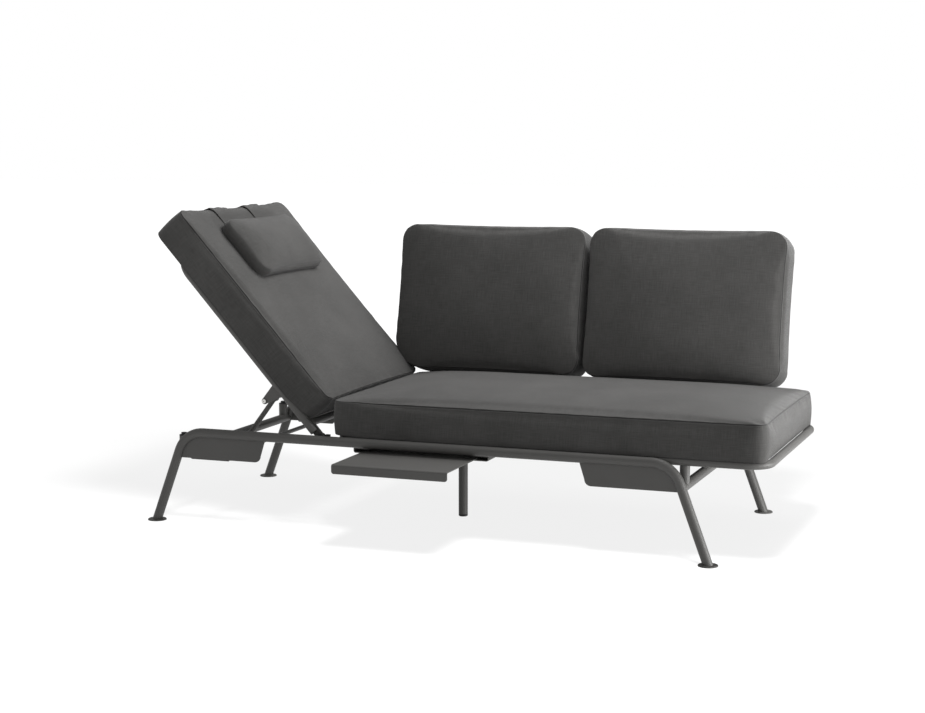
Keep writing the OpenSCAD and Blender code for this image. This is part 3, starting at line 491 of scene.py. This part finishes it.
def shader(name, colour, roughness, metallic=0.0, specular=0.5):
    """A material with one Principled shader, and that shader's node."""
    material = bpy.data.materials.new(name)
    material.use_nodes = True
    principled = material.node_tree.nodes["Principled BSDF"]
    principled.inputs["Base Color"].default_value = (*colour, 1)
    principled.inputs["Roughness"].default_value = roughness
    principled.inputs["Metallic"].default_value = metallic
    principled.inputs["Specular IOR Level"].default_value = specular
    return material, principled


def add_node(material, kind, **inputs):
    """A node of a kind, with values on its named sockets."""
    node = material.node_tree.nodes.new(kind)
    for socket, value in inputs.items():
        node.inputs[socket.replace("_", " ")].default_value = value
    return node


def link(material, source, target):
    """Joins an output to an input."""
    material.node_tree.links.new(source, target)


def ranged(material, value, **limits):
    """A number carried from one range to another: limits name the sockets of the map range."""
    node = add_node(material, "ShaderNodeMapRange", **limits)
    link(material, value, node.inputs["Value"])
    return node.outputs["Result"]


def grain(material, scale, detail):
    """Noise in the piece's own place."""
    place = material.node_tree.nodes.new("ShaderNodeTexCoord")
    noise = add_node(material, "ShaderNodeTexNoise", Scale=scale, Detail=detail)
    link(material, place.outputs["Object"], noise.inputs["Vector"])
    return noise.outputs["Fac"]


def bumped(material, principled, height, strength, distance):
    """Turns a height in metres into the shader's bump."""
    bump = add_node(material, "ShaderNodeBump", Strength=strength, Distance=distance)
    link(material, height, bump.inputs["Height"])
    link(material, bump.outputs["Normal"], principled.inputs["Normal"])


def streaks(material, coordinates, along, across, detail):
    """Noise drawn out into threads: across and along are how many fit in a metre each way."""
    mapping = add_node(material, "ShaderNodeMapping", Scale=(along, across, 1))
    noise = add_node(material, "ShaderNodeTexNoise", Scale=1.0, Detail=detail, Roughness=0.6)
    link(material, coordinates, mapping.inputs["Vector"])
    link(material, mapping.outputs["Vector"], noise.inputs["Vector"])
    return noise.outputs["Fac"]


def math_node(material, operation, first, second):
    """Two numbers or sockets joined by one operation."""
    node = material.node_tree.nodes.new("ShaderNodeMath")
    node.operation = operation
    for socket, value in zip(node.inputs, (first, second)):
        if isinstance(value, bpy.types.NodeSocket):
            link(material, value, socket)
        else:
            socket.default_value = value
    return node.outputs[0]


def between(material, factor, low, high):
    """Colour that goes from low to high with a factor."""
    mix = material.node_tree.nodes.new("ShaderNodeMix")
    mix.data_type = "RGBA"
    mix.inputs["A"].default_value = (*low, 1)
    mix.inputs["B"].default_value = (*high, 1)
    link(material, factor, mix.inputs["Factor"])
    return mix.outputs["Result"]


def woven_cloth():
    """Dark grey linen-look outdoor cloth: slubs along warp and weft, threads in the bump, a soft sheen and
    painted shade that darkens the seam grooves."""
    material, principled = shader("woven_cloth", CLOTH_GREY, roughness=0.9, specular=0.25)
    principled.inputs["Sheen Weight"].default_value = 0.25
    principled.inputs["Sheen Roughness"].default_value = 0.45
    uv = material.node_tree.nodes.new("ShaderNodeUVMap")
    uv.uv_map = "cloth"
    warp = streaks(material, uv.outputs["UV"], SLUBS_ALONG, SLUBS_ACROSS, detail=3)
    weft = streaks(material, uv.outputs["UV"], SLUBS_ACROSS, SLUBS_ALONG, detail=3)
    slubs = math_node(material, "MULTIPLY", math_node(material, "ADD", warp, weft), 0.5)
    patches = streaks(material, uv.outputs["UV"], PATCHES, PATCHES, detail=2)
    shade = math_node(material, "ADD", math_node(material, "MULTIPLY", slubs, SLUB_SHARE),
                      math_node(material, "MULTIPLY", patches, PATCH_SHARE))
    sharp = ranged(material, shade, From_Min=0.36, From_Max=0.64)
    colour = between(material, sharp, CLOTH_DARK, CLOTH_LIGHT)
    # painted shade: the colour goes near-black along the seam points, standing in for the shade in the seam
    # grooves
    seam = material.node_tree.nodes.new("ShaderNodeAttribute")
    seam.attribute_name = "seam"
    seam_shade_mix = material.node_tree.nodes.new("ShaderNodeMix")
    seam_shade_mix.data_type = "RGBA"
    seam_shade_mix.inputs["B"].default_value = (*SEAM_SHADE, 1)
    link(material, seam.outputs["Fac"], seam_shade_mix.inputs["Factor"])
    link(material, colour, seam_shade_mix.inputs["A"])
    link(material, seam_shade_mix.outputs["Result"], principled.inputs["Base Color"])
    weave = threads(material, uv.outputs["UV"])
    height = math_node(material, "ADD", math_node(material, "MULTIPLY", slubs, 0.8), weave)
    bumped(material, principled, height, strength=0.35, distance=WEAVE_BUMP)
    return material


def threads(material, coordinates):
    """Plain weave: two crossing sets of fine threads, about 1.4 mm apart."""
    sets = []
    for turn in (0, 1):
        mapping = add_node(material, "ShaderNodeMapping", Rotation=(0, 0, turn * math.pi / 2))
        wave = add_node(material, "ShaderNodeTexWave", Scale=WEAVE_SCALE, Distortion=1.2, Detail=1.0)
        wave.bands_direction = "X"
        link(material, coordinates, mapping.inputs["Vector"])
        link(material, mapping.outputs["Vector"], wave.inputs["Vector"])
        sets.append(wave.outputs["Fac"])
    return math_node(material, "MAXIMUM", *sets)


def powder_coat():
    """Matt anthracite powder coat with a fine grain."""
    material, principled = shader("powder_coat", COAT_GREY, roughness=0.5, specular=0.42)
    colour = between(material, grain(material, scale=9.0, detail=3.0), COAT_DARK, COAT_LIGHT)
    link(material, colour, principled.inputs["Base Color"])
    fine = grain(material, scale=900.0, detail=2.0)
    bumped(material, principled, fine, strength=0.12, distance=COAT_BUMP)
    return material


def black_plastic():
    """Moulded black plastic and rubber with a faint grain."""
    material, principled = shader("black_plastic", PLASTIC_BLACK, roughness=0.55, specular=0.4)
    rough = ranged(material, grain(material, scale=700.0, detail=2.0), To_Min=0.45, To_Max=0.65)
    link(material, rough, principled.inputs["Roughness"])
    return material


def zinc_steel():
    """Bright zinc-plated steel of the bolts and pins."""
    material, principled = shader("zinc_steel", ZINC_GREY, roughness=0.28, metallic=1.0)
    colour = between(material, grain(material, scale=160.0, detail=3.0), ZINC_DARK, ZINC_LIGHT)
    link(material, colour, principled.inputs["Base Color"])
    return material


def dress(piece, material):
    """Gives a piece one material."""
    piece.data.materials.clear()
    piece.data.materials.append(material)


# Cushions

cloth = woven_cloth()


def made_cover(name, box, corner, crowns, step, low_left=None, rim=None):
    """One cushion's cover: cut to a box, hung over its ring of tubes, blown up as cloth and sewn."""
    low, high = box
    piece, cover = boxed_cover(name, low, high, corner, *crowns, step, low_left)
    if rim:
        hung(piece, cover, box, *rim)
    points = points_of(piece)
    held = (points[:, 2] < low[2] + HELD_HEIGHT) | (points[:, 0] < low[0] + HELD_END)
    puffed(piece, PUFF_PRESSURE, PUFF_CAP, held)
    sewn(piece, cover)
    return piece


def seat_cushion():
    """The seat cushion, fuller on top and at its left end than the CAD solid."""
    low, high = node_box("seat_cushion", seat_place)
    low[0] -= SEAT_LEFT_FULLER
    high[2] += SEAT_FULLER
    rim = (support(seat_place, ("seat_ring_left", "seat_ring_right", "seat_slats")), SEAT_RIM_DROP, (0,))
    crowns = (SEAT_CROWN + SEAT_FULLER, 0)
    piece = made_cover("seat_cover", (low, high), SEAT_CORNER, crowns, SEAT_STEP, rim=rim)
    return finished(piece, seat_place, "frame", "seat_cushion")


def recliner_cushion():
    """The reclining cushion, fuller at its free end than the CAD solid."""
    low, high = node_box("recliner_cushion", recliner_place)
    high[0] += RECLINER_END_FULLER
    slides = np.linspace(0, -joints["cushion_slide"]["range_m"][0], RIM_SLIDES)
    rim = (support(recliner_place, ("recliner_frame", "recliner_slats")), RECLINER_RIM_DROP, slides)
    crowns = (RECLINER_CROWN, 0)
    piece = made_cover("recliner_cover", (low, high), SEAT_CORNER, crowns, CUSHION_STEP, rim=rim)
    return finished(piece, recliner_place, "recliner_pad", "recliner_cushion")


def back_cushion(name, node, low_left):
    """A back cushion, fuller at its foot than the CAD solid, so that it stands on the seat cushion."""
    low, high = node_box(node, back_place)
    low[1] -= BACK_FOOT
    crowns = (BACK_CROWN, BACK_CROWN)
    piece = made_cover(name, (low, high), BACK_CORNER, crowns, CUSHION_STEP, low_left)
    return finished(piece, back_place, "frame", node)


def head_pillow():
    """The head pillow: flat where it lies on the reclining cushion, and without seams."""
    low, high = node_box("head_pillow", pillow_place)
    piece = boxed_cover("pillow_cover", low, high, PILLOW_CORNER, PILLOW_CROWN, 0, CUSHION_STEP)[0]
    puffed(piece, PUFF_PRESSURE, PUFF_CAP, points_of(piece)[:, 2] < low[2] + HELD_HEIGHT)
    return finished(piece, pillow_place, "pillow", "head_pillow")


def strap_line(tree, across, end, seam, low):
    """Line of one strap over the reclining cushion in the plane y = across: up the end, round the edge and
    down the face. Each point is where a straight line from outside meets the cover, and the strap stands
    off by STRAP_LIFT + STRAP_BULGE * exp(-((number - STRAP_TOP) / STRAP_SPREAD) ** 2), most over the
    edge."""
    turn = STRAP_TURN
    heights = np.linspace(low, seam - turn, STRAP_END_POINTS)[:-1]
    starts = [((end + turn, across, height), (-1, 0, 0)) for height in heights]
    pivot = np.array((end - turn, across, seam - turn))
    for angle in np.linspace(0, np.pi / 2, STRAP_TURN_POINTS):
        way = np.array((np.cos(angle), 0, np.sin(angle)))
        starts.append((pivot + 3 * turn * way, -way))
    ups = np.linspace(end - turn, STRAP_LAST_U, STRAP_FACE_POINTS)[1:]
    starts += [((up, across, seam + turn), (0, 0, -1)) for up in ups]
    line = []
    for number, (start, way) in enumerate(starts):
        hit = tree.ray_cast(Vector(start), Vector(way))[0]
        lift = STRAP_LIFT + STRAP_BULGE * np.exp(-((number - STRAP_TOP) / STRAP_SPREAD) ** 2)
        line.append(np.array(hit) - np.array(way) * lift)
    return line


def pillow_straps(cushion):
    """Two flat straps, sewn into the cushion's end seam, that hold the head pillow's back."""
    low, high = node_box("pillow_straps", recliner_place)
    pad_low, pad_high = node_box("recliner_cushion", recliner_place)
    end, seam = pad_high[0] + RECLINER_END_FULLER, pad_high[2] - RECLINER_CROWN
    local = recliner_place.inside(points_of(cushion))
    tree = BVHTree.FromPolygons(local.tolist(), [tuple(face.vertices) for face in cushion.data.polygons])
    width = STRAP_WIDTH
    columns = np.linspace(0, width, STRAP_COLUMNS)
    hem = pad_low[2] + STRAP_HEM
    points, faces, uvs = [], [], []
    for first in (low[1], high[1] - width):
        lines = np.array([strap_line(tree, first + step, end, seam, hem) for step in columns])
        rows = lines.shape[1]
        offset = sum(len(block) for block in points)
        points.append(lines.reshape(-1, 3))
        faces.append(grid_quads(rows, len(columns), offset, False))
        way = np.concatenate([[0], np.cumsum(np.linalg.norm(np.diff(lines[0], axis=0), axis=1))])
        uvs.append(np.stack(np.meshgrid(way, columns), -1).reshape(-1, 2))
    faces = np.concatenate(faces)
    corner_uvs = np.concatenate(uvs)[faces.ravel()]
    piece = new_piece("strap_pair", recliner_place.outside(np.concatenate(points)), faces)
    set_cloth_uv(piece, corner_uvs)
    # no painted seam shade on the straps
    mark(piece.data, "seam", np.zeros(len(piece.data.vertices)))
    thick = piece.modifiers.new("thickness", "SOLIDIFY")
    thick.thickness = STRAP_THICK
    thick.offset = 1
    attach(piece, "recliner_pad")
    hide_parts("pillow_straps")
    return piece


recliner_cover = recliner_cushion()
soft_pieces = [seat_cushion(), recliner_cover, head_pillow(), pillow_straps(recliner_cover),
               back_cushion("left_back_cover", "left_back_cushion", PRESSED_CORNER),
               back_cushion("right_back_cover", "right_back_cushion", BACK_CORNER)]
for made in soft_pieces:
    dress(made, cloth)


# Finishes of the CAD pieces

FINISHES = {"anthracite_steel": powder_coat(), "black_plastic": black_plastic(),
            "bright_steel": zinc_steel(), "fabric": cloth}
for part in frame["record"]["subparts"]:
    dress(frame["nodes"][part["node"]], FINISHES[part["material_slot"]])


# Floor, light and camera

def stage_material():
    """White to the camera and in reflections, with the object's shadow, and a dim glow to the light that
    bounces, which grows away from the object."""
    material = bpy.data.materials.new("studio_floor")
    material.use_nodes = True
    tree = material.node_tree
    tree.nodes.clear()
    path = tree.nodes.new("ShaderNodeLightPath")
    seen = math_node(material, "MAXIMUM", path.outputs["Is Camera Ray"], path.outputs["Is Glossy Ray"])
    seen = math_node(material, "MAXIMUM", seen, path.outputs["Is Transmission Ray"])
    place = tree.nodes.new("ShaderNodeTexCoord")
    away = tree.nodes.new("ShaderNodeVectorMath")
    away.operation = "LENGTH"
    link(material, place.outputs["Object"], away.inputs[0])
    shades = ranged(material, away.outputs["Value"], From_Min=FLOOR_SHADE_FROM, From_Max=FLOOR_SHADE_TO,
                    To_Min=FLOOR_SHADE, To_Max=FLOOR_FAR_SHADE)
    glow = add_node(material, "ShaderNodeEmission", Color=(1, 1, 1, 1))
    link(material, shades, glow.inputs["Strength"])
    shade = add_node(material, "ShaderNodeBsdfDiffuse", Color=(FLOOR_GREY, FLOOR_GREY, FLOOR_GREY, 1))
    white = tree.nodes.new("ShaderNodeAddShader")
    link(material, glow.outputs[0], white.inputs[0])
    link(material, shade.outputs[0], white.inputs[1])
    bounce = ranged(material, away.outputs["Value"], From_Min=FLOOR_BOUNCE_FROM, From_Max=FLOOR_BOUNCE_TO,
                    To_Min=FLOOR_BOUNCE_UNDER, To_Max=FLOOR_BOUNCE_AROUND)
    grey = add_node(material, "ShaderNodeEmission", Color=(1, 1, 1, 1))
    link(material, bounce, grey.inputs["Strength"])
    choice = tree.nodes.new("ShaderNodeMixShader")
    output = tree.nodes.new("ShaderNodeOutputMaterial")
    link(material, seen, choice.inputs[0])
    link(material, grey.outputs[0], choice.inputs[1])
    link(material, white.outputs[0], choice.inputs[2])
    link(material, choice.outputs[0], output.inputs["Surface"])
    return material


def floor():
    """A wide flat square under the object."""
    half = FLOOR_HALF
    corners = [(-half, -half, 0), (half, -half, 0), (half, half, 0), (-half, half, 0)]
    piece = new_piece("floor", corners, [(0, 1, 2, 3)])
    dress(piece, stage_material())
    return piece


def sky():
    """White to the camera, and a dim even light to everything else."""
    world = bpy.data.worlds.new("studio")
    bpy.context.scene.world = world
    world.use_nodes = True
    tree = world.node_tree
    tree.nodes.clear()
    path = tree.nodes.new("ShaderNodeLightPath")
    choice = tree.nodes.new("ShaderNodeMixShader")
    output = tree.nodes.new("ShaderNodeOutputWorld")
    tree.links.new(path.outputs["Is Camera Ray"], choice.inputs[0])
    for socket, strength in ((1, SKY_LIGHT), (2, 1.0)):
        light = tree.nodes.new("ShaderNodeBackground")
        light.inputs["Strength"].default_value = strength
        light.inputs["Color"].default_value = (1, 1, 1, 1)
        tree.links.new(light.outputs[0], choice.inputs[socket])
    tree.links.new(choice.outputs[0], output.inputs["Surface"])


def lamp(name, place, aim, size, power):
    """A square soft lamp at a place, turned to a point."""
    data = bpy.data.lights.new(name, "AREA")
    data.size = size
    data.energy = power
    piece = placed(name, data)
    piece.location = place
    piece.rotation_euler = (Vector(aim) - Vector(place)).to_track_quat("-Z", "Y").to_euler()
    return piece


def light_only(source, piece):
    """Lets a lamp light one piece alone, so that its shadow there is clear."""
    group = bpy.data.collections.new(source.name + "_lights")
    group.objects.link(piece)
    source.light_linking.receiver_collection = group


def camera():
    """The photo's camera."""
    data = bpy.data.cameras.new("camera")
    data.lens = CAMERA_LENS
    data.sensor_width = CAMERA_SENSOR
    piece = placed("camera", data)
    piece.location = CAMERA_PLACE
    piece.rotation_euler = (math.radians(90 - CAMERA_PITCH), 0, math.radians(CAMERA_YAW))
    data.clip_end = CAMERA_REACH
    bpy.context.scene.camera = piece


ground = floor()
sky()
light_only(lamp("ground_light", *GROUND_LAMP), ground)
lamp("overhead", *OVERHEAD_LAMP)
lamp("right_side", *RIGHT_SIDE_LAMP)
camera()
bpy.context.scene.view_settings.view_transform = "Standard"
